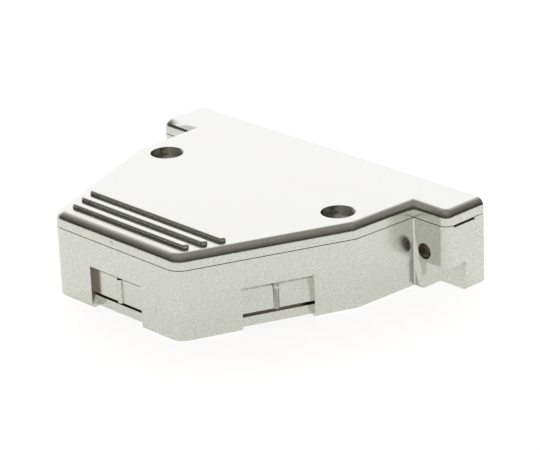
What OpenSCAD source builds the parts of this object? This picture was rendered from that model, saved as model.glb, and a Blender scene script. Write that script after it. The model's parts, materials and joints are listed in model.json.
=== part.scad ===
// Die-cast hood for a 37-way D-sub connector: a deep lower shell, a shallow
// screwed cover and the cable clamp inside. The connector's flange stands in a
// groove at the +Y end; three cable entries, each closed by a break-out panel,
// open through the -Y end wall and the two slanted walls.
// Origin: centre of the bounding box in plan, on the resting face. Units: mm.

/* [Outline in plan] */
// Length from the mating face to the cable end
hood_l = 53.9; // [50:0.1:60]
// Width across the ears at the mating face
flange_w = 74.4; // [73.5:0.1:78]
// Length of the ears behind the mating face
ear_l = 9.5; // [8.5:0.1:11]
// Width of the body just behind the ears
body_w = 58.5; // [56.5:0.1:60]
// Width of the body where the slanted walls begin
bend_w = 57.4; // [55.5:0.1:58.4]
// Distance from the mating face to the start of the slanted walls
bend_l = 23.2; // [21:0.1:25]
// Width of the end wall, measured between its sharp corners
end_w = 32.2; // [30:0.1:36]
// Corner radius in plan where the end wall meets the slanted walls
end_r = 3; // [1.8:0.1:4]
// Corner radius in plan at the outer corner of each ear
ear_r = 1.8; // [1.7:0.1:2.4]

/* [Heights and walls] */
// Height from the resting face to the flat top of the cover
hood_h = 16; // [15.5:0.1:18]
// Height of the parting plane between shell and cover
parting_h = 13.25; // [13:0.05:13.6]
// Thickness of the side walls
wall_t = 1.1; // [0.9:0.05:1.3]
// Thickness of the shell's floor
floor_t = 1.1; // [0.9:0.05:1.3]
// Thickness of the cover's top plate
cover_t = 1.4; // [1.2:0.05:1.8]
// Radius along the cover's upper edge
top_r = 1.6; // [1:0.1:1.7]
// Radius along the shell's lower edge
foot_r = 0.5; // [0.3:0.1:0.8]
// Width of the shallow outer step that shows as the parting line
seam_w = 0.45; // [0.2:0.05:0.6]
// Depth of that step
seam_h = 0.14; // [0.08:0.02:0.3]

/* [Connector seat] */
// Width of the connector flange
conn_w = 69.32; // [69:0.02:69.8]
// Height of the connector flange
conn_h = 12.55; // [12.3:0.05:12.8]
// Thickness of the flange groove
groove_t = 1.4; // [1.2:0.05:1.8]
// Play around the flange in its groove
conn_play = 0.15; // [0.05:0.05:0.3]
// Height of the connector's centre above the resting face
conn_z = 7.4; // [7.3:0.05:7.5]
// Thickness of the lip in front of the flange
lip_t = 1.4; // [1:0.1:1.8]
// Thickness of the stop behind the flange
stop_t = 1.2; // [1:0.1:1.6]
// How far lip and stop overlap the flange
lip_overlap = 1; // [0.6:0.05:1.1]
// Distance between the two jackscrew holes
jack_pitch = 63.5; // [63:0.1:64]
// Radius of the jackscrew holes
jack_r = 1.5; // [1.3:0.05:1.6]

/* [Ears] */
// Wall that the jackscrew passes through
ear_wall_t = 1.6; // [1.3:0.1:2]
// Radius of the pad around the hole inside the ear
jack_pad_r = 3; // [2.6:0.1:3.4]
// Distance from the body's side to the notch under the ear
notch_gap = 1.75; // [1.4:0.05:2.6]
// Height of the notch
notch_h = 5; // [4.4:0.1:5.1]
// Wall left around the notch
notch_wall_t = 0.7; // [0.6:0.05:0.8]
// Radius along the notch's outer edges
notch_r = 0.55; // [0.3:0.05:0.7]
// Length of the pry slot under the cover at the end of each ear
pry_l = 5.4; // [3:0.1:6]
// Height of the pry slot
pry_h = 0.5; // [0.3:0.05:0.8]

/* [Cable entries] */
// Width of each entry
entry_w = 13.4; // [12:0.1:14]
// Height of each entry
entry_h = 7.95; // [7.6:0.05:8.6]
// Distance of the side entries' centres from the end wall's corners
entry_s = 18.4; // [17:0.1:19.5]
// Height at which the break-out panel begins
panel_z = 2.7; // [2.4:0.05:3]
// Height of the break-out panel
panel_h = 4.4; // [4:0.05:4.6]
// Thickness of the break-out panel
panel_t = 0.6; // [0.4:0.05:0.7]
// Radius of the half-round rib down the panel
panel_rib_r = 0.55; // [0.4:0.05:0.6]
// Width of the tab that holds a side panel to the wall
tab_w = 0.95; // [0.8:0.05:1.4]
// Height of the sill below the panel
sill_h = 1.75; // [1.5:0.05:2]
// Thickness of the sill
sill_t = 1; // [0.8:0.1:1.4]
// Width of the jambs beside each entry
jamb_w = 1.2; // [1:0.1:1.4]

/* [Cover screws] */
// Distance between the two cover screws
cover_pitch = 44.8; // [43.5:0.1:46]
// Distance of the cover screws from the mating face
cover_screw_l = 21.25; // [20:0.05:22]
// Radius of the counterbore in the cover
cbore_r = 3.1; // [2.95:0.05:3.2]
// Wall around the counterbore
cbore_wall_t = 1.2; // [1:0.1:1.4]
// Depth from the cover's top to the screw's seat
cbore_d = 4.7; // [4.6:0.05:4.8]
// Thickness of the seat under the screw head
seat_t = 1.15; // [1:0.05:1.2]
// Radius of the cover screw's shank
cover_screw_r = 1.5; // [1.4:0.05:1.6]
// Length of the cover screw under its head
cover_screw_len = 8; // [7:0.5:8]
// Radius of the cover screw's head
cover_head_r = 2.75; // [2.6:0.05:2.85]
// Height of the cover screw's head
cover_head_h = 2; // [1.8:0.1:2.1]
// Wall around the cover screw's thread
boss_wall_t = 1.7; // [1.5:0.1:1.9]

/* [Cable clamp] */
// Distance between the two clamp screws
clamp_pitch = 17.6; // [17.4:0.1:18]
// Distance of the clamp's centre line from the outside of the wall
clamp_s = 5.5; // [5.4:0.1:6]
// Height of the clamp posts
post_h = 4.5; // [4.2:0.1:5]
// Wall around the clamp screw's thread
post_wall_t = 0.95; // [0.8:0.05:1.1]
// Radius of the clamp screw's shank
clamp_screw_r = 1.25; // [1.15:0.05:1.3]
// Length of the clamp screw under its head
clamp_screw_len = 4; // [3.6:0.1:4.2]
// Radius of the clamp screw's head
clamp_head_r = 2.15; // [1.9:0.05:2.25]
// Height of the clamp screw's head
clamp_head_h = 1.5; // [1.3:0.1:1.7]
// Width of the clamp strip
strip_w = 5; // [4.6:0.1:5]
// Thickness of the clamp strip
strip_t = 1; // [0.8:0.1:1.2]
// Inner radius of the clamp's arch
arch_r = 5.2; // [4.8:0.1:5.4]

/* [Finger ribs] */
// Number of ribs across the cover
rib_count = 3; // [1:1:5]
// Distance from the cable end to the first rib
rib_first = 4; // [3.6:0.1:5]
// Distance from one rib to the next
rib_pitch = 3.1; // [2.6:0.05:3.6]
// Width of a rib
rib_w = 1.5; // [1:0.1:1.8]
// Height of a rib above the cover
rib_h = 0.7; // [0.5:0.05:0.9]
// Radius along a rib's upper edge
rib_r = 0.4; // [0.2:0.05:0.45]
// Distance of the ribs' ends from the outline
rib_inset = 2.8; // [2.2:0.1:3.6]

/* [Hidden] */
$fn = 48;

over = 1;          // how far a cut runs past the face it opens
lap = 0.05;        // how far a cut runs into the hollow that it opens into
arc_step = 9;      // angle between the facets of a rounded edge
fit_gap = 0.12;    // play between the cover's locating rim and the shell
thread_gap = 0.02; // play between a screw's shank and its thread
clear_gap = 0.15;  // play around a shank where it passes freely
rim_t = 0.8;       // thickness of the cover's locating rim
pry_d = 0.8;       // depth of the pry slot into the ear's side wall
rim_h = 0.8;       // how far the rim reaches below the parting plane
tongue_h = 0.55;   // how far lip and stop of the cover reach below it
web_t = 1.2;       // thickness of the web that ties a screw boss to the wall
web_drop = 1;      // how far that web stays below the boss
tip_gap = 0.4;     // room left below a cover screw's tip
clamp_tip_gap = 0.3; // room left below a clamp screw's tip
strip_end = 1.85;  // metal beyond the clamp's screw holes
cross_l = 0.55;    // half length of a cross recess, of the head's radius
cross_w = 0.22;    // half width of a cross recess, of the shank's radius
cross_d = 0.55;    // depth of a cross recess, of the head's height

mate_y = hood_l / 2;
end_y = -hood_l / 2;
ear_y = mate_y - ear_l;
bend_y = mate_y - bend_l;

// The outline in plan, anticlockwise, from the mating face round the cable end
outline = [
    [flange_w / 2, mate_y], [-flange_w / 2, mate_y],
    [-flange_w / 2, ear_y], [-body_w / 2, ear_y],
    [-bend_w / 2, bend_y], [-end_w / 2, end_y],
    [end_w / 2, end_y], [bend_w / 2, bend_y],
    [body_w / 2, ear_y], [flange_w / 2, ear_y]
];
outline_r = [0, 0, ear_r, 0, 0, end_r, end_r, 0, 0, ear_r];

// The same outline as two convex blocks, whose edges can be rounded: the body,
// and the bar across both ears. Both are drawn past the mating face.
past_y = mate_y + 4 * top_r;
body_past_w = bend_w + (body_w - bend_w) * (past_y - bend_y) / (ear_y - bend_y);
body_block = [
    [body_past_w / 2, past_y], [-body_past_w / 2, past_y],
    [-bend_w / 2, bend_y], [-end_w / 2, end_y],
    [end_w / 2, end_y], [bend_w / 2, bend_y]
];
body_block_r = [0, 0, 0, end_r, end_r, 0];
ear_block = [
    [flange_w / 2, past_y], [-flange_w / 2, past_y],
    [-flange_w / 2, ear_y], [flange_w / 2, ear_y]
];
ear_block_r = [0, 0, ear_r, ear_r];

// Connector seat, from the mating face inwards
groove_y = mate_y - lip_t;
stop_y = groove_y - groove_t;
cavity_y = stop_y - stop_t;
groove_w = conn_w + 2 * conn_play;
groove_low = conn_z - conn_h / 2 - conn_play;
groove_top = conn_z + conn_h / 2 + conn_play;
mouth_w = conn_w - 2 * lip_overlap - 2 * conn_play;
mouth_low = groove_low + conn_play + lip_overlap;
mouth_top = parting_h - tongue_h;

cbore_z = hood_h - cbore_d;
boss_r = cover_screw_r + boss_wall_t;
boss_top = cbore_z - seat_t - clear_gap;
post_r = clamp_screw_r + post_wall_t;
notch_x = body_w / 2 + notch_gap;
notch_y = cavity_y - notch_wall_t;
clamp_foot = clamp_pitch / 2 + strip_end;
step_d = wall_t + panel_t;       // depth of the panel's inner face
jamb_d = step_d + sill_t;        // depth of the sill's inner face
entry_angle = atan2(bend_y - end_y, (bend_w - end_w) / 2);

// ---------------------------------------------------------------- geometry

// Unit normal to the left of p -> q, which is inwards on an anticlockwise outline
function left(p, q) = let (d = (q - p) / norm(q - p)) [-d[1], d[0]];

// Vector that moves corner i inwards by 1 along both of its edges
function corner(pts, i) =
    let (n = len(pts),
         m = left(pts[(i + n - 1) % n], pts[i]),
         k = left(pts[i], pts[(i + 1) % n]))
    (m + k) / (1 + m * k);

// The outline moved inwards by t
function inset(pts, t) = [for (i = [0:len(pts) - 1]) pts[i] + t * corner(pts, i)];

// Angle turned at corner i
function turn(pts, i) =
    let (n = len(pts),
         m = left(pts[(i + n - 1) % n], pts[i]),
         k = left(pts[i], pts[(i + 1) % n]))
    acos(m * k);

// Half width of the slanted part of the outline at height y in plan
function half_w(y) = end_w / 2 + (y - end_y) / tan(entry_angle);

// Points of an arc round o, from angle a0 to angle a1, in steps of about arc_step
function arc(o, r, a0, a1) =
    let (n = max(1, round(abs(a1 - a0) / arc_step)))
    [for (k = [0:n]) o + r * [cos(a0 + (a1 - a0) * k / n), sin(a0 + (a1 - a0) * k / n)]];

// Angle of the outward normal of edge e
function out_angle(pts, e) = let (m = left(pts[e], pts[(e + 1) % len(pts)])) atan2(-m[1], -m[0]);

// Outline with its convex corners rounded
module rounded_outline(pts, rad) {
    n = len(pts);
    polygon([for (i = [0:n - 1]) let (a = out_angle(pts, (i + n - 1) % n))
        each rad[i] > 0 ? arc(pts[i] + rad[i] * corner(pts, i), rad[i], a, a + turn(pts, i)) : [pts[i]]]);
}

// Convex block of height h, with its upper edges rounded by r. It is stretched
// round one turned foot for each corner, and cut flat along the mating face.
module rounded_block(pts, rad, h, r) {
    intersection() {
        hull() for (i = [0:len(pts) - 1]) {
            o = pts[i] + max(rad[i], r) * corner(pts, i);
            translate([o[0], o[1], 0]) corner_foot(max(rad[i], r), h, r);
        }
        span([-flange_w, end_y - over, -over], [flange_w, mate_y, h + over]);
    }
}

// Round foot of radius rad and height h, its upper edge rounded by r
module corner_foot(rad, h, r) {
    rotate_extrude($fn = 72)
        polygon(concat([[0, 0], [rad, 0]], arc([rad - r, h - r], r, 0, 90), [[0, h]]));
}

// Straight block between two opposite corners
module span(lo, hi) {
    translate(lo) cube(hi - lo);
}

// Places its children at each cable entry: X along the wall, Y inwards, with
// the origin on the outer face at the entry's centre
module at_end_entry() {
    translate([0, end_y, 0]) children();
}
module at_side_entries() {
    for (side = [0, 1]) mirror([side, 0, 0])
        translate([end_w / 2, end_y, 0]) rotate([0, 0, entry_angle])
        translate([entry_s, 0, 0]) children();
}

// ------------------------------------------------------------- lower shell

// Inner space in plan, inset by t, carried past the back of the flange stop by past
module inner_plan(t, past) {
    intersection() {
        rounded_outline(inset(outline, t), [for (r = outline_r) max(0, r - t)]);
        translate([-flange_w, end_y]) square([2 * flange_w, cavity_y + past - end_y]);
    }
}

// Outer form of the shell, with the shallow step along the parting line
module shell_outside() {
    intersection() {
        union() {
            mirror([0, 0, 1]) translate([0, 0, -parting_h])
                rounded_block(body_block, body_block_r, parting_h, foot_r);
            mirror([0, 0, 1]) translate([0, 0, -parting_h])
                rounded_block(ear_block, ear_block_r, parting_h, foot_r);
        }
        union() {
            translate([0, 0, -over]) linear_extrude(parting_h - seam_h + over)
                square([2 * flange_w, 2 * hood_l], center = true);
            linear_extrude(parting_h + over)
                rounded_outline(inset(outline, seam_w), [for (r = outline_r) max(0, r - seam_w)]);
        }
    }
}

// Opening for the connector body, from the mating face into the hollow
module mouth() {
    span([-mouth_w / 2, cavity_y - lap, mouth_low], [mouth_w / 2, mate_y + over, parting_h + over]);
}

// Groove that holds the connector's flange
module flange_groove() {
    span([-groove_w / 2, stop_y, groove_low], [groove_w / 2, groove_y, groove_top]);
}

// Notch under the right ear, with its outer edges rounded
module ear_notch() {
    span([notch_x, ear_y - over, -over], [flange_w / 2 + over, notch_y, notch_h]);
    difference() {
        span([notch_x, ear_y - over, 0], [flange_w / 2 + over, notch_y, notch_h + notch_r]);
        translate([0, 0, notch_h + parting_h]) mirror([0, 0, 1])
            rounded_block(ear_block, ear_block_r, parting_h, notch_r);
    }
}

// Solid left around the notch inside the right ear
module notch_housing() {
    span([notch_x - notch_wall_t, ear_y + wall_t / 2, 0],
         [flange_w / 2 - wall_t / 2, cavity_y, notch_h + notch_wall_t]);
}

// Slot in the rim at the end of the right ear, where a blade lifts the cover
module pry_slot() {
    y0 = ear_y + ear_r;
    span([flange_w / 2 - pry_d, y0, parting_h - pry_h],
         [flange_w / 2 + over, y0 + pry_l, parting_h + over]);
}

// Everything cast on the inside of one entry: jambs, sill and clamp posts
module entry_inside() {
    for (side = [-1, 1]) {
        x = side * (entry_w + jamb_w) / 2;
        span([x - jamb_w / 2, wall_t / 2, 0], [x + jamb_w / 2, jamb_d, entry_h + panel_t]);
        translate([side * clamp_pitch / 2, clamp_s, 0]) cylinder(r = post_r, h = post_h);
    }
    span([-entry_w / 2 - jamb_w / 2, step_d, 0], [entry_w / 2 + jamb_w / 2, jamb_d, sill_h]);
}

// What an entry takes out of wall and floor, and the threads of its posts
module entry_cuts() {
    span([-entry_w / 2, -over, -over], [entry_w / 2, wall_t, entry_h]);
    span([-entry_w / 2, -over, -over], [entry_w / 2, step_d, panel_z]);
    for (side = [-1, 1])
        translate([side * clamp_pitch / 2, clamp_s, post_h + strip_t - clamp_screw_len - clamp_tip_gap])
            cylinder(r = clamp_screw_r + thread_gap, h = clamp_screw_len);
}

// Break-out panel: thin plate, half-round rib, and a tab on the side entries
module break_out(tab) {
    span([-entry_w / 2 - jamb_w / 2, wall_t, panel_z],
         [entry_w / 2 + jamb_w / 2, step_d, panel_z + panel_h]);
    translate([0, wall_t, panel_z]) cylinder(r = panel_rib_r, h = panel_h);
    if (tab) span([-tab_w / 2, wall_t - panel_rib_r, panel_z + panel_h - panel_rib_r],
                  [tab_w / 2, step_d, entry_h + panel_t]);
}

// Boss for one cover screw and the web that ties it to the wall
module screw_boss() {
    translate([cover_pitch / 2, mate_y - cover_screw_l, 0]) {
        cylinder(r = boss_r, h = boss_top);
        span([0, -web_t / 2, 0],
             [(bend_w - cover_pitch - wall_t) / 2, web_t / 2, boss_top - web_drop]);
    }
}

module lower_shell() color([0.80, 0.80, 0.76]) {
    difference() {
        union() {
            difference() {
                shell_outside();
                translate([0, 0, floor_t]) linear_extrude(parting_h) inner_plan(wall_t, 0);
            }
            for (side = [0, 1]) mirror([side, 0, 0]) {
                notch_housing();
                screw_boss();
                translate([jack_pitch / 2, ear_y + ear_wall_t, conn_z]) rotate([90, 0, 0])
                    cylinder(r = jack_pad_r, h = ear_wall_t - wall_t / 2);
            }
            at_end_entry() entry_inside();
            at_side_entries() entry_inside();
        }
        mouth();
        flange_groove();
        for (side = [0, 1]) mirror([side, 0, 0]) {
            ear_notch();
            pry_slot();
            translate([jack_pitch / 2, ear_y - over, conn_z]) rotate([-90, 0, 0])
                cylinder(r = jack_r, h = ear_wall_t + 2 * over);
            translate([cover_pitch / 2, mate_y - cover_screw_l, cbore_z - cover_screw_len - tip_gap])
                cylinder(r = cover_screw_r + thread_gap, h = cover_screw_len);
        }
        at_end_entry() entry_cuts();
        at_side_entries() entry_cuts();
    }
    at_end_entry() break_out(false);
    at_side_entries() break_out(true);
}

// ------------------------------------------------------------------- cover

// Half of a finger rib's section, from its middle plane outwards
module rib_half() {
    difference() {
        translate([0, -over]) square([rib_w / 2, rib_h + over]);
        translate([rib_w / 2 - rib_r, rib_h - rib_r]) difference() {
            square(rib_r + over);
            circle(rib_r);
        }
    }
}

// One finger rib across the cover, with rounded edges and round ends
module finger_rib(y) {
    half = half_w(y) - rib_inset - rib_w / 2;
    translate([0, y, hood_h]) {
        translate([-half, 0, 0]) rotate([90, 0, 90]) linear_extrude(2 * half) {
            rib_half();
            mirror([1, 0]) rib_half();
        }
        for (side = [-1, 1]) translate([side * half, 0, 0]) rotate_extrude() rib_half();
    }
}

// Rim that locates the cover inside the shell, behind the flange stop
module locating_rim() {
    difference() {
        inner_plan(wall_t + fit_gap, 0);
        inner_plan(wall_t + fit_gap + rim_t, over);
    }
}

module cover() color([0.84, 0.84, 0.80]) {
    difference() {
        union() {
            difference() {
                translate([0, 0, parting_h]) {
                    rounded_block(body_block, body_block_r, hood_h - parting_h, top_r);
                    rounded_block(ear_block, ear_block_r, hood_h - parting_h, top_r);
                }
                translate([0, 0, parting_h - over])
                    linear_extrude(hood_h - cover_t - parting_h + over) inner_plan(wall_t, 0);
            }
            translate([0, 0, parting_h - rim_h])
                linear_extrude(hood_h - cover_t - parting_h + rim_h + cover_t / 2) locating_rim();
            span([-mouth_w / 2 + fit_gap, cavity_y, mouth_top],
                 [mouth_w / 2 - fit_gap, mate_y, hood_h - cover_t]);
            for (side = [0, 1]) mirror([side, 0, 0])
                translate([cover_pitch / 2, mate_y - cover_screw_l, cbore_z - seat_t])
                    cylinder(r = cbore_r + cbore_wall_t, h = cbore_d + seat_t - cover_t / 2);
            for (i = [0:rib_count - 1]) finger_rib(end_y + rib_first + i * rib_pitch);
        }
        flange_groove();
        for (side = [0, 1]) mirror([side, 0, 0])
            translate([cover_pitch / 2, mate_y - cover_screw_l, 0]) {
                translate([0, 0, cbore_z]) cylinder(r = cbore_r, h = cbore_d + over);
                cylinder(r = cover_screw_r + clear_gap, h = hood_h);
            }
    }
}

// ------------------------------------------------------------------ screws

// Cheese-head screw with a cross recess, its head's underside at z = 0
module cross_screw(r, len, head_r, head_h) {
    difference() {
        union() {
            translate([0, 0, -len]) cylinder(r = r, h = len);
            cylinder(r = head_r, h = head_h);
        }
        for (a = [0, 90]) rotate([0, 0, a])
            span([-head_r * cross_l, -r * cross_w, head_h * (1 - cross_d)],
                 [head_r * cross_l, r * cross_w, head_h + over]);
    }
}

module cover_screw(side) {
    translate([side * cover_pitch / 2, mate_y - cover_screw_l, cbore_z])
        cross_screw(cover_screw_r, cover_screw_len, cover_head_r, cover_head_h);
}
module cover_screw_left() color([0.62, 0.62, 0.60]) cover_screw(-1);
module cover_screw_right() color([0.62, 0.62, 0.60]) cover_screw(1);

module clamp_screw(side) {
    at_end_entry() translate([side * clamp_pitch / 2, clamp_s, post_h + strip_t])
        cross_screw(clamp_screw_r, clamp_screw_len, clamp_head_r, clamp_head_h);
}
module clamp_screw_left() color([0.66, 0.66, 0.64]) clamp_screw(-1);
module clamp_screw_right() color([0.66, 0.66, 0.64]) clamp_screw(1);

// Pressed strip that holds the cable down, arched over it
module cable_clamp() color([0.72, 0.73, 0.72]) {
    at_end_entry() translate([0, clamp_s, post_h]) difference() {
        union() {
            translate([0, strip_w / 2, 0]) rotate([90, 0, 0]) rotate_extrude(angle = 180)
                translate([arch_r, 0]) square([strip_t, strip_w]);
            for (side = [0, 1]) mirror([side, 0, 0])
                span([arch_r + strip_t / 2, -strip_w / 2, 0], [clamp_foot, strip_w / 2, strip_t]);
        }
        for (side = [-1, 1]) translate([side * clamp_pitch / 2, 0, -over])
            cylinder(r = clamp_screw_r + clear_gap, h = strip_t + 2 * over);
    }
}

lower_shell();
cover();
cover_screw_left();
cover_screw_right();
cable_clamp();
clamp_screw_left();
clamp_screw_right();
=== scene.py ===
"""Looks for the die-cast D-sub hood: its plated shells, screws and clamp, and a plain studio.

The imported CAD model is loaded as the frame. Each CAD solid is shown by a merged,
smoothly shaded copy. The walls inside the ears, the fills of the corners beside them
and two small casting marks are added, and the metal is dressed.
"""

import json
import logging
import math
from dataclasses import dataclass, field
from enum import Enum

import bpy
from mathutils import Matrix, Vector
from mathutils.bvhtree import BVHTree

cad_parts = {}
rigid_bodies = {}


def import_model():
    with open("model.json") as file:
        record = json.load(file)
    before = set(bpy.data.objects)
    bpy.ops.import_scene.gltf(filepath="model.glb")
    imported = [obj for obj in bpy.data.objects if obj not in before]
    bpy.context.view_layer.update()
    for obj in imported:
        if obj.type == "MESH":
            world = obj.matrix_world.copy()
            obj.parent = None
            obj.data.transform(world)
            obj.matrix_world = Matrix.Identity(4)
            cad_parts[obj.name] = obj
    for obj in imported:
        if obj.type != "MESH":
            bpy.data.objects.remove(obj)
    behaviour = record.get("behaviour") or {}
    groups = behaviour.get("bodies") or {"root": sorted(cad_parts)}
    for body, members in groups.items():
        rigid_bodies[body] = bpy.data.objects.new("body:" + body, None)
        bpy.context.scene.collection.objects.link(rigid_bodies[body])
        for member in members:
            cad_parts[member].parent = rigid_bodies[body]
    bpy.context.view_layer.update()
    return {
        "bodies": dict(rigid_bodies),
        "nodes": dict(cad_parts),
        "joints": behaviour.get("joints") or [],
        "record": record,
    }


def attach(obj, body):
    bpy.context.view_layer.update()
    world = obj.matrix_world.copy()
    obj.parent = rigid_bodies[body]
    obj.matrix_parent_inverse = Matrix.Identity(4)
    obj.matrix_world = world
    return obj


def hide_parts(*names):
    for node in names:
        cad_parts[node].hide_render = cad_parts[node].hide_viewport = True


log = logging.getLogger("d_sub_hood")

MM = 0.001
MERGE_MM = 0.002
RAY_START_MM = 0.02
FLAT_ANGLE = math.radians(0.4)
SMOOTH_ANGLE = math.radians(32)

Colour = tuple[float, float, float, float]
Stops = tuple[tuple[float, Colour], ...]


class Slot(Enum):
    """Material slots of the record; each piece keeps one, but takes its finish as given."""

    CASTING = "nickel_casting"
    SCREW = "zinc_steel"
    STRIP = "pressed_steel"


def linear(hex_colour: str) -> Colour:
    """Turns an sRGB hex colour into linear RGBA.

    Args:
        hex_colour: Six hex digits, with or without a leading hash.

    Returns:
        Red, green, blue and alpha, linear.
    """
    digits = hex_colour.lstrip("#")
    channels = [int(digits[i : i + 2], 16) / 255 for i in (0, 2, 4)]
    red, green, blue = (
        c / 12.92 if c <= 0.04045 else ((c + 0.055) / 1.055) ** 2.4 for c in channels
    )
    return red, green, blue, 1.0


def add_node(
    tree: bpy.types.NodeTree,
    kind: str,
    settings: dict[str, object] | None = None,
    inputs: dict[str, object] | None = None,
    stops: Stops = (),
) -> bpy.types.Node:
    """Adds one shader node with its settings and its sockets.

    Args:
        tree: Node tree that takes the node.
        kind: Blender's type name of the node.
        settings: Properties of the node to set.
        inputs: Socket names, each with a value or with an output socket to link.
        stops: Places and linear colours of a colour ramp, in rising order.

    Returns:
        The new node.
    """
    node = tree.nodes.new(kind)
    for place, _ in stops[2:]:
        node.color_ramp.elements.new(place)
    for index, (place, colour) in enumerate(stops):
        node.color_ramp.elements[index].position = place
        node.color_ramp.elements[index].color = colour
    for name, value in (settings or {}).items():
        setattr(node, name, value)
    for name, value in (inputs or {}).items():
        socket = node.inputs[int(name)] if name.isdigit() else node.inputs[name]
        if isinstance(value, bpy.types.NodeSocket):
            tree.links.new(value, socket)
        else:
            socket.default_value = value
    return node


def grey(level: float) -> Colour:
    """Makes a neutral colour.

    Args:
        level: Linear level of its three channels.

    Returns:
        Red, green, blue and alpha, linear.
    """
    return level, level, level, 1.0


@dataclass(frozen=True)
class NickelPlate:
    """Satin nickel plating on a zinc die casting.

    The plating follows the skin of the casting, so reflections are soft, and a
    fine sandy grain covers the walls but not the flat top of the lid.
    """

    name: str = "nickel_plated_zinc_casting"
    dark: str = "#C5C7C0"
    light: str = "#E2E4DB"
    roughness: float = 0.22
    roughness_spread: float = 0.02
    grain_height_mm: float = 0.19
    grain_length_mm: float = 0.34
    grain_depth_mm: float = 0.012
    grain_strength: float = 0.4
    grain_detail: float = 5.0
    flat_from: float = 0.8
    flat_to: float = 0.98

    def build(self) -> bpy.types.Material:
        """Builds the material.

        Returns:
            The finished material.
        """
        material = bpy.data.materials.new(self.name)
        material.use_nodes = True
        tree = material.node_tree
        shader = tree.nodes["Principled BSDF"]
        shader.inputs["Metallic"].default_value = 1.0
        place = add_node(tree, "ShaderNodeTexCoord").outputs["Object"]
        along = 1 / (self.grain_length_mm * MM)
        across = 1 / (self.grain_height_mm * MM)
        flow = add_node(
            tree,
            "ShaderNodeMapping",
            inputs={"Vector": place, "Scale": (along, along, across)},
        )
        sand = add_node(
            tree,
            "ShaderNodeTexNoise",
            inputs={
                "Vector": flow.outputs["Vector"],
                "Scale": 1.0,
                "Detail": self.grain_detail,
            },
        ).outputs["Fac"]
        # The lid's flat top came from the smooth side of the die: no grain there.
        facing = add_node(tree, "ShaderNodeNewGeometry").outputs["Normal"]
        parts = add_node(tree, "ShaderNodeSeparateXYZ", inputs={"Vector": facing})
        flat = add_node(
            tree,
            "ShaderNodeMapRange",
            inputs={
                "Value": parts.outputs["Z"],
                "From Min": self.flat_from,
                "From Max": self.flat_to,
            },
        )
        grain = add_node(
            tree,
            "ShaderNodeMix",
            inputs={"Factor": flat.outputs["Result"], "2": sand, "3": 0.5},
        ).outputs["Result"]
        # Faint light and dark specks, as plating takes unevenly on a cast skin.
        tone = add_node(
            tree,
            "ShaderNodeValToRGB",
            inputs={"Fac": grain},
            stops=((0.3, linear(self.dark)), (0.7, linear(self.light))),
        )
        tree.links.new(tone.outputs["Color"], shader.inputs["Base Color"])
        rough = add_node(
            tree,
            "ShaderNodeMapRange",
            inputs={
                "Value": grain,
                "To Min": self.roughness - self.roughness_spread,
                "To Max": self.roughness + self.roughness_spread,
            },
        )
        tree.links.new(rough.outputs["Result"], shader.inputs["Roughness"])
        # The same grain in relief breaks up the reflections along the rounded edges.
        bump = add_node(
            tree,
            "ShaderNodeBump",
            inputs={
                "Height": grain,
                "Strength": self.grain_strength,
                "Distance": self.grain_depth_mm * MM,
            },
        )
        tree.links.new(bump.outputs["Normal"], shader.inputs["Normal"])
        return material


@dataclass(frozen=True)
class PlainMetal:
    """Even metal: zinc-plated steel, or the skin inside the casting, darkened there as
    painted shade.

    It gives the eye a plain sheen without grain, duller and darker where it paints that
    shade.
    """

    name: str
    colour: str = "#C6C8C6"
    roughness: float = 0.3

    def build(self) -> bpy.types.Material:
        """Builds the material.

        Returns:
            The finished material.
        """
        material = bpy.data.materials.new(self.name)
        material.use_nodes = True
        shader = material.node_tree.nodes["Principled BSDF"]
        shader.inputs["Metallic"].default_value = 1.0
        shader.inputs["Base Color"].default_value = linear(self.colour)
        shader.inputs["Roughness"].default_value = self.roughness
        return material


def merged_copy(node: bpy.types.Object, name: str) -> bpy.types.Object:
    """Copies a CAD solid and joins its loose triangles into one skin.

    Args:
        node: CAD node to copy.
        name: Name of the new piece.

    Returns:
        The copy, with its own mesh, at the origin.
    """
    piece = node.copy()
    piece.data = node.data.copy()
    piece.name = name
    piece.data.name = name
    piece.parent = None
    piece.matrix_world = Matrix.Identity(4)
    bpy.context.collection.objects.link(piece)
    bpy.ops.object.select_all(action="DESELECT")
    bpy.context.view_layer.objects.active = piece
    piece.select_set(True)
    bpy.ops.object.mode_set(mode="EDIT")
    bpy.ops.mesh.select_all(action="SELECT")
    bpy.ops.mesh.remove_doubles(threshold=MERGE_MM * MM)
    bpy.ops.mesh.dissolve_limited(angle_limit=FLAT_ANGLE)
    bpy.ops.mesh.select_all(action="DESELECT")
    bpy.ops.object.mode_set(mode="OBJECT")
    piece.data.materials.clear()
    return piece


def flatten_normals(piece: bpy.types.Object) -> None:
    """Weights normals by face area, so that flat walls stay flat beside roundings.

    Args:
        piece: Piece to finish.
    """
    modifier = piece.modifiers.new("flat_walls", "WEIGHTED_NORMAL")
    modifier.mode = "FACE_AREA"
    modifier.weight = 100
    modifier.keep_sharp = True
    bpy.context.view_layer.objects.active = piece
    bpy.ops.object.modifier_apply(modifier=modifier.name)


@dataclass
class Hardware:
    """A CAD solid shown by its own merged copy in one finish."""

    node: str
    slot: Slot
    material: bpy.types.Material

    def build(self, frame: dict[str, object]) -> bpy.types.Object:
        """Builds the piece and lets it ride.


        Returns:
            The finished piece.
        """
        piece = merged_copy(frame["nodes"][self.node], f"{self.node}_piece")
        bpy.ops.object.shade_smooth_by_angle(angle=SMOOTH_ANGLE)
        flatten_normals(piece)
        piece.data.materials.append(self.material)
        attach(piece, "root")
        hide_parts(self.node)
        log.info("%s: %d faces", piece.name, len(piece.data.polygons))
        return piece


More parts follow.
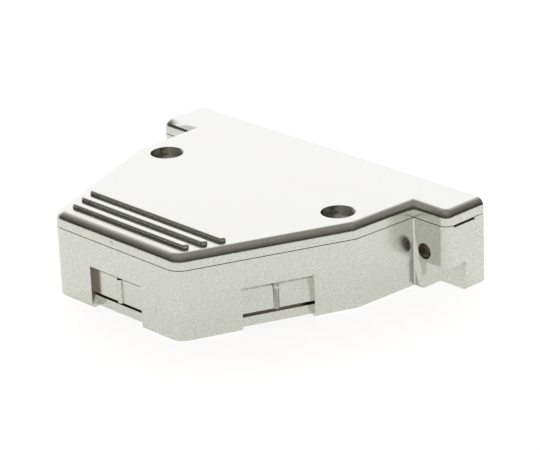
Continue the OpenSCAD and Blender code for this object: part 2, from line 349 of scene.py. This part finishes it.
def paint_hollow_shade(
    shells: list[bpy.types.Object], inner: bpy.types.Material, below_mm: float
) -> None:
    """Paints shade on the shells' inward faces with a darker, rougher skin.

    A face lies in the hollow when a line straight out of it meets a shell again, and
    so does a line straight down. Recesses that are open below stay bright.

    Args:
        shells: The shell pieces.
        inner: Darker finish that paints the shade on the inner faces.
        below_mm: Height above which faces stay bright, as in the screws' wells.
    """
    depsgraph = bpy.context.evaluated_depsgraph_get()
    trees = [BVHTree.FromObject(shell, depsgraph) for shell in shells]
    for shell in shells:
        shell.data.materials.append(inner)
        for face in shell.data.polygons:
            start = face.center + face.normal * RAY_START_MM * MM
            met = all(
                any(tree.ray_cast(start, way)[0] is not None for tree in trees)
                for way in (face.normal, Vector((0, 0, -1)))
            )
            # Faces in the hollow get the darker finish: painted shade.
            if met and face.center.z < below_mm * MM:
                face.material_index = 1


def finish_cast(piece: bpy.types.Object, material: bpy.types.Material) -> None:
    """Gives an added piece of the casting its finish and lets it ride.

    Args:
        piece: The finished form.
        material: Its finish.
    """
    piece.data.materials.append(material)
    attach(piece, "root")
    log.info("%s: %d faces", piece.name, len(piece.data.polygons))


@dataclass(frozen=True)
class CastingMark:
    """A low round mark that the die leaves on the end wall, with a rounded rim."""

    name: str
    place_mm: tuple[float, float, float]
    radius_mm: float
    rise_mm: float
    sunk_mm: float = 0.05
    sides: int = 32
    rim_share: float = 0.9
    rim_steps: int = 3

    def build(self, material: bpy.types.Material) -> bpy.types.Object:
        """Builds the mark on the casting's skin.

        Args:
            material: Finish of the casting.

        Returns:
            The finished piece.
        """
        bpy.ops.object.select_all(action="DESELECT")
        bpy.ops.mesh.primitive_cylinder_add(
            vertices=self.sides,
            radius=self.radius_mm * MM,
            depth=(self.rise_mm + self.sunk_mm) * MM,
            location=tuple(c * MM for c in self.place_mm),
            rotation=(math.pi / 2, 0.0, 0.0),
        )
        mark = bpy.context.object
        mark.name = self.name
        bpy.ops.object.transform_apply(location=True, rotation=True, scale=True)
        bevel = mark.modifiers.new("rounded_rim", "BEVEL")
        bevel.width = self.rise_mm * MM * self.rim_share
        bevel.segments = self.rim_steps
        bpy.ops.object.modifier_apply(modifier=bevel.name)
        bpy.ops.object.shade_smooth_by_angle(angle=SMOOTH_ANGLE)
        finish_cast(mark, material)
        return mark


@dataclass(frozen=True)
class CastBlock:
    """A plain upright block of the casting: a wall in an ear, or the fill of a corner."""

    name: str
    low_mm: tuple[float, float, float]
    high_mm: tuple[float, float, float]
    turn_deg: float = 0.0

    def build(self, material: bpy.types.Material) -> bpy.types.Object:
        """Builds the block.

        Args:
            material: Finish of the block.

        Returns:
            The finished piece.
        """
        low, high = Vector(self.low_mm) * MM, Vector(self.high_mm) * MM
        bpy.ops.object.select_all(action="DESELECT")
        bpy.ops.mesh.primitive_cube_add(size=1.0, location=(low + high) / 2)
        block = bpy.context.object
        block.name = self.name
        block.scale = high - low
        block.rotation_euler.z = math.radians(self.turn_deg)
        bpy.ops.object.transform_apply(location=True, rotation=True, scale=True)
        finish_cast(block, material)
        return block


@dataclass(frozen=True)
class EarCorner:
    """What stands where an ear meets the body: a wall inside, and a fill outside."""

    x_mm: float = 29.25
    y_mm: float = 17.45
    foot_mm: float = 0.6
    wall_from_mm: float = 0.5
    wall_back_mm: float = 22.8
    wall_top_mm: float = 12.2
    wall_width_mm: float = 1.0
    fill_half_mm: float = 0.14
    fill_top_mm: float = 13.05

    def wall(self, name: str, side: int) -> CastBlock:
        """Describes the wall between the ear and the hollow of the body.

        Args:
            name: Name of the side.
            side: Sign of X on that side.

        Returns:
            The wall.
        """
        outer, inner = side * self.x_mm, side * (self.x_mm - self.wall_width_mm)
        front = self.y_mm + self.wall_from_mm
        return CastBlock(
            f"ear_wall_{name}",
            (min(outer, inner), front, self.foot_mm),
            (max(outer, inner), self.wall_back_mm, self.wall_top_mm),
        )

    def fill(self, name: str, side: int) -> CastBlock:
        """Describes the fill in the outer corner, which catches a line of light.

        Args:
            name: Name of the side.
            side: Sign of X on that side.

        Returns:
            The fill.
        """
        x, y, half = side * self.x_mm, self.y_mm, self.fill_half_mm
        return CastBlock(
            f"corner_fill_{name}",
            (x - half, y - half, self.foot_mm),
            (x + half, y + half, self.fill_top_mm),
            45.0,
        )


@dataclass(frozen=True)
class Studio:
    """Plain white studio: floor, surrounding light and camera."""

    floor_m: float = 6.0
    azimuth_deg: float = 47.157
    elevation_deg: float = 22.095
    roll_deg: float = -2.34
    distance_mm: float = 479.95
    aim_mm: tuple[float, float, float] = (11.634, -0.616, 12.571)
    lens_mm: float = 181.98
    sensor_mm: float = 36.0
    clip_m: tuple[float, float] = (0.01, 50.0)
    floor_drop_mm: float = 0.02
    floor_grey: float = 0.8
    floor_roughness: float = 0.9
    floor_glow_mirrored: float = 0.71
    floor_glow_seen: float = 0.79
    rear_from: float = -0.8
    rear_to: float = -0.3
    near_light: Stops = (
        (0.0, grey(0.01)),
        (0.22, grey(0.015)),
        (0.4, linear("#62605C")),
        (0.7, linear("#7E7A77")),
        (1.0, linear("#A09C99")),
    )
    rear_light: Stops = (
        (0.0, (1.37, 1.34, 1.4, 1.0)),
        (0.5, (1.37, 1.34, 1.4, 1.0)),
        (0.75, linear("#C0BDBB")),
        (1.0, linear("#A09C99")),
    )

    def back(self) -> Vector:
        """Works out the way to the camera.

        Returns:
            The unit vector from the hood towards the camera.
        """
        turn, lift = math.radians(self.azimuth_deg), math.radians(self.elevation_deg)
        return Vector(
            (
                math.sin(turn) * math.cos(lift),
                -math.cos(turn) * math.cos(lift),
                math.sin(lift),
            )
        )

    def camera(self) -> bpy.types.Object:
        """Places the camera.

        Returns:
            The camera, set as the scene's own.
        """
        back = self.back()
        bpy.ops.object.camera_add()
        camera = bpy.context.object
        camera.data.sensor_width = self.sensor_mm
        camera.data.lens = self.lens_mm
        camera.data.clip_start, camera.data.clip_end = self.clip_m
        right = Vector((0, 0, 1)).cross(back).normalized()
        up = back.cross(right)
        turn = Matrix((right, up, back)).transposed() @ Matrix.Rotation(
            math.radians(self.roll_deg), 3, "Z"
        )
        camera.matrix_world = Matrix.Translation(
            Vector(self.aim_mm) * MM + back * self.distance_mm * MM
        ) @ turn.to_4x4()
        bpy.context.scene.camera = camera
        return camera

    def floor(self) -> bpy.types.Object:
        """Lays the floor just under the hood.

        Returns:
            The floor.
        """
        bpy.ops.mesh.primitive_plane_add(
            size=self.floor_m, location=(0, 0, -self.floor_drop_mm * MM)
        )
        floor = bpy.context.object
        floor.name = "studio_floor"
        material = bpy.data.materials.new("matt_white_paper")
        material.use_nodes = True
        tree = material.node_tree
        shader = tree.nodes["Principled BSDF"]
        shader.inputs["Base Color"].default_value = grey(self.floor_grey)
        shader.inputs["Roughness"].default_value = self.floor_roughness
        shader.inputs["Specular IOR Level"].default_value = 0.0
        shader.inputs["Emission Color"].default_value = grey(1.0)
        # The paper is lit evenly to white; what the metal mirrors of it is a little less.
        seen = add_node(tree, "ShaderNodeLightPath").outputs["Is Camera Ray"]
        glow = add_node(
            tree,
            "ShaderNodeMapRange",
            inputs={
                "Value": seen,
                "To Min": self.floor_glow_mirrored,
                "To Max": self.floor_glow_seen,
            },
        )
        tree.links.new(glow.outputs["Result"], shader.inputs["Emission Strength"])
        floor.data.materials.append(material)
        return floor

    def world(self) -> None:
        """Sets the light that surrounds the hood.

        The near side is dark at the horizon, which draws the dark band along the
        lid's edge. The far side is bright, which whitens the flat top.
        """
        world = bpy.data.worlds.new("studio_light")
        bpy.context.scene.world = world
        world.use_nodes = True
        tree = world.node_tree
        tree.nodes.clear()
        ray = add_node(tree, "ShaderNodeLightPath")
        direction = add_node(tree, "ShaderNodeTexCoord").outputs["Generated"]
        parts = add_node(tree, "ShaderNodeSeparateXYZ", inputs={"Vector": direction})
        height = parts.outputs["Z"]
        turn = math.radians(self.azimuth_deg)
        towards = add_node(
            tree,
            "ShaderNodeVectorMath",
            settings={"operation": "DOT_PRODUCT"},
            inputs={"0": direction, "1": (math.sin(turn), -math.cos(turn), 0.0)},
        ).outputs["Value"]
        front, rear = (
            add_node(
                tree, "ShaderNodeValToRGB", inputs={"Fac": height}, stops=stops
            ).outputs["Color"]
            for stops in (self.near_light, self.rear_light)
        )
        side = add_node(
            tree,
            "ShaderNodeMapRange",
            settings={"interpolation_type": "SMOOTHSTEP"},
            inputs={
                "Value": towards,
                "From Min": self.rear_from,
                "From Max": self.rear_to,
            },
        )
        light = add_node(
            tree,
            "ShaderNodeMix",
            settings={"data_type": "RGBA"},
            inputs={"Factor": side.outputs["Result"], "6": rear, "7": front},
        )
        shown = add_node(
            tree,
            "ShaderNodeMix",
            settings={"data_type": "RGBA"},
            inputs={
                "Factor": ray.outputs["Is Camera Ray"],
                "6": light.outputs[2],
                "7": grey(1.0),
            },
        )
        background = add_node(
            tree, "ShaderNodeBackground", inputs={"Color": shown.outputs[2]}
        )
        add_node(
            tree,
            "ShaderNodeOutputWorld",
            inputs={"Surface": background.outputs["Background"]},
        )

    def build(self) -> None:
        """Builds floor, light and camera."""
        self.floor()
        self.world()
        self.camera()
        bpy.context.scene.view_settings.view_transform = "Standard"
        log.info("studio: floor, light and camera")


@dataclass
class Hood:
    """The whole hood, piece by piece."""

    casting: NickelPlate = field(default_factory=NickelPlate)
    screw: PlainMetal = field(
        default_factory=lambda: PlainMetal("zinc_plated_screw_steel")
    )
    strip: PlainMetal = field(
        default_factory=lambda: PlainMetal("plated_pressed_strip", roughness=0.36)
    )
    # The inner skin's darker colour is painted shade for the hollow and the walls inside the
    # ears.
    hollow: PlainMetal = field(
        default_factory=lambda: PlainMetal("painted_shade_inner_skin", "#948B80", 0.45)
    )
    corner: EarCorner = field(default_factory=EarCorner)
    end_y_mm: float = -26.95
    hollow_top_mm: float = 13.3

    def build(self, frame: dict[str, object]) -> list[bpy.types.Object]:
        """Builds every piece.


        Returns:
            The finished pieces.
        """
        casting, screw = self.casting.build(), self.screw.build()
        strip, inner = self.strip.build(), self.hollow.build()
        parts = [
            Hardware("lower_shell", Slot.CASTING, casting),
            Hardware("cover", Slot.CASTING, casting),
            Hardware("cover_screw_left", Slot.SCREW, screw),
            Hardware("cover_screw_right", Slot.SCREW, screw),
            Hardware("cable_clamp", Slot.STRIP, strip),
            Hardware("clamp_screw_left", Slot.SCREW, screw),
            Hardware("clamp_screw_right", Slot.SCREW, screw),
        ]
        sides = (("left", -1), ("right", 1))
        marks = [
            CastingMark("gate_stub", (-0.5, self.end_y_mm, 13.95), 0.42, 0.07),
            CastingMark("end_wall_spot", (10.4, self.end_y_mm, 4.5), 0.22, 0.05),
        ]
        pieces = [part.build(frame) for part in parts]
        # Painted shade: the hollow faces and the walls inside the ears take the darker inner
        # finish.
        paint_hollow_shade(pieces[:2], inner, self.hollow_top_mm)
        pieces += [self.corner.wall(*side).build(inner) for side in sides]
        pieces += [self.corner.fill(*side).build(casting) for side in sides]
        return pieces + [mark.build(casting) for mark in marks]


def main() -> None:
    """Loads the frame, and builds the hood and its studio."""
    logging.basicConfig(level=logging.INFO)
    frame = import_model()
    Hood().build(frame)
    Studio().build()


if __name__ == "__main__":
    main()
